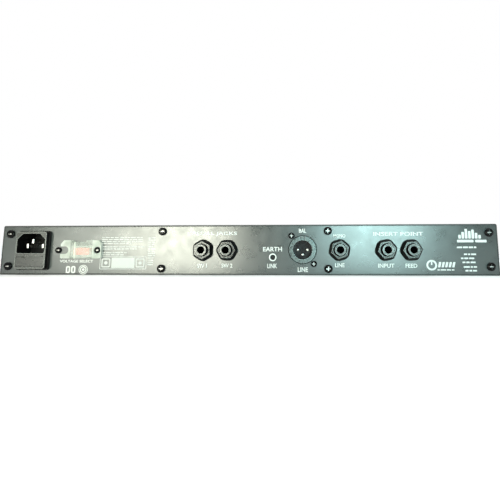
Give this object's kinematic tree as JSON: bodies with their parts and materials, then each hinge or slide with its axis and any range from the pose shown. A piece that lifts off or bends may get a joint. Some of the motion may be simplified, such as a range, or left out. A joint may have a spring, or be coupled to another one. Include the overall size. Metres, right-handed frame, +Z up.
{
  "type": "rack effects unit",
  "caption": "One-unit 19 inch rack preamp and effects unit: folded steel case, panel of knobs, and a rear plate with mains inlet, jacks and a three pin output.",
  "frame": {"origin": "middle of the four rack slots, on the back face of the front panel where its ears meet the rack's rails", "axes": "+X to the right seen from the front, +Y from front to back, +Z up"},
  "size_m": [0.4826, 0.24, 0.0436],
  "materials": {
    "panel_paint": "fine textured black paint with white print",
    "case_paint": "satin charcoal paint",
    "rear_paint": "satin charcoal paint with white print",
    "black_screw": "black zinc plate",
    "black_plastic": "moulded, lightly textured",
    "gloss_black_plastic": "moulded",
    "plated_pin": "bright nickel plate",
    "fuse_glass": "glass tube with plated caps",
    "slider_red": "moulded",
    "clear_cover": "clear moulded cover, slightly milky",
    "jack_plastic": "moulded, threaded bushing",
    "nut_plastic": "moulded",
    "spring_brass": "plated spring metal",
    "shell_metal": "satin nickel plated die casting",
    "ring_white": "moulded",
    "button_grey": "moulded",
    "knob_plastic": "moulded, fluted grip",
    "shaft_metal": "turned",
    "pot_metal": "plated",
    "nut_metal": "nickel plate",
    "led_lens": "tinted lens",
    "board_green": "solder resist over glass fibre",
    "standoff_brass": "turned",
    "can_sleeve": "shrink sleeve",
    "core_steel": "varnished laminations",
    "coil_tape": "wrapped tape",
    "lead_insulation": "flexible insulation"
  },
  "bodies": {
    "chassis": {"front_panel": "panel_paint", "top_cover": "case_paint", "chassis_tray": "case_paint", "front_wall": "case_paint", "rear_panel": "rear_paint", "rear_panel_screws": "black_screw", "cover_screws": "black_screw", "front_panel_screws": "black_screw", "connector_screws": "black_screw", "inlet_housing": "black_plastic", "inlet_pins": "plated_pin", "selector_switch_body": "black_plastic", "selector_cover": "clear_cover", "footswitch_jack_a": "jack_plastic", "footswitch_jack_b": "jack_plastic", "main_out_jack": "jack_plastic", "return_jack": "jack_plastic", "send_jack": "jack_plastic", "input_jack": "jack_plastic", "jack_nuts": "nut_plastic", "jack_contacts": "spring_brass", "xlr_shell": "shell_metal", "xlr_insert": "black_plastic", "xlr_pins": "plated_pin", "ground_lift_bush": "ring_white", "ground_lift_switch": "black_plastic", "potentiometer_bodies": "pot_metal", "pot_nuts": "nut_metal", "button_switch_bodies": "black_plastic", "power_switch_frame": "black_plastic", "indicator_leds": "led_lens", "control_board": "board_green", "main_board": "board_green", "board_standoffs": "standoff_brass", "filter_capacitors": "can_sleeve", "transformer_core": "core_steel", "transformer_winding": "coil_tape", "mains_leads": "lead_insulation"},
    "gain_control": {"gain_knob": "knob_plastic", "gain_shaft": "shaft_metal"},
    "bass_control": {"bass_knob": "knob_plastic", "bass_shaft": "shaft_metal"},
    "mid_control": {"mid_knob": "knob_plastic", "mid_shaft": "shaft_metal"},
    "treble_control": {"treble_knob": "knob_plastic", "treble_shaft": "shaft_metal"},
    "comp_control": {"comp_knob": "knob_plastic", "comp_shaft": "shaft_metal"},
    "process_control": {"process_knob": "knob_plastic", "process_shaft": "shaft_metal"},
    "master_control": {"master_knob": "knob_plastic", "master_shaft": "shaft_metal"},
    "pad_push": {"pad_button": "gloss_black_plastic"},
    "comp_push": {"comp_button": "gloss_black_plastic"},
    "process_push": {"process_button": "gloss_black_plastic"},
    "power_switch": {"power_rocker": "gloss_black_plastic"},
    "lift_push": {"ground_lift_button": "button_grey"},
    "voltage_slide": {"selector_slider": "slider_red"},
    "fuse_carrier": {"fuse_drawer": "black_plastic", "mains_fuse": "fuse_glass"}
  },
  "joints": [
    {"name": "gain_turn", "type": "hinge", "parent": "chassis", "child": "gain_control", "pos_m": [-0.142, 0, 0], "axis": [0, 1, 0], "range_deg": [-150, 150]},
    {"name": "bass_turn", "type": "hinge", "parent": "chassis", "child": "bass_control", "pos_m": [-0.102, 0, 0], "axis": [0, 1, 0], "range_deg": [-150, 150]},
    {"name": "mid_turn", "type": "hinge", "parent": "chassis", "child": "mid_control", "pos_m": [-0.066, 0, 0], "axis": [0, 1, 0], "range_deg": [-150, 150]},
    {"name": "treble_turn", "type": "hinge", "parent": "chassis", "child": "treble_control", "pos_m": [-0.03, 0, 0], "axis": [0, 1, 0], "range_deg": [-150, 150]},
    {"name": "comp_turn", "type": "hinge", "parent": "chassis", "child": "comp_control", "pos_m": [0.018, 0, 0], "axis": [0, 1, 0], "range_deg": [-150, 150]},
    {"name": "process_turn", "type": "hinge", "parent": "chassis", "child": "process_control", "pos_m": [0.072, 0, 0], "axis": [0, 1, 0], "range_deg": [-150, 150]},
    {"name": "master_turn", "type": "hinge", "parent": "chassis", "child": "master_control", "pos_m": [0.14, 0, 0], "axis": [0, 1, 0], "range_deg": [-150, 150]},
    {"name": "pad_press", "type": "slide", "parent": "chassis", "child": "pad_push", "axis": [0, 1, 0], "range_m": [0, 0.0025], "stiffness_N_per_m": 200, "springref_m": -0.002},
    {"name": "comp_press", "type": "slide", "parent": "chassis", "child": "comp_push", "axis": [0, 1, 0], "range_m": [0, 0.0025], "stiffness_N_per_m": 200, "springref_m": -0.002},
    {"name": "process_press", "type": "slide", "parent": "chassis", "child": "process_push", "axis": [0, 1, 0], "range_m": [0, 0.0025], "stiffness_N_per_m": 200, "springref_m": -0.002},
    {"name": "power_rock", "type": "hinge", "parent": "chassis", "child": "power_switch", "pos_m": [0.196, -0.0014, 0], "axis": [-1, 0, 0], "range_deg": [0, 18]},
    {"name": "lift_press", "type": "slide", "parent": "chassis", "child": "lift_push", "axis": [0, -1, 0], "range_m": [0, 0.0025], "stiffness_N_per_m": 200, "springref_m": -0.002},
    {"name": "voltage_select", "type": "slide", "parent": "chassis", "child": "voltage_slide", "axis": [-1, 0, 0], "range_m": [0, 0.0036]},
    {"name": "fuse_draw", "type": "slide", "parent": "chassis", "child": "fuse_carrier", "axis": [0, 1, 0], "range_m": [0, 0.022]}
  ]
}
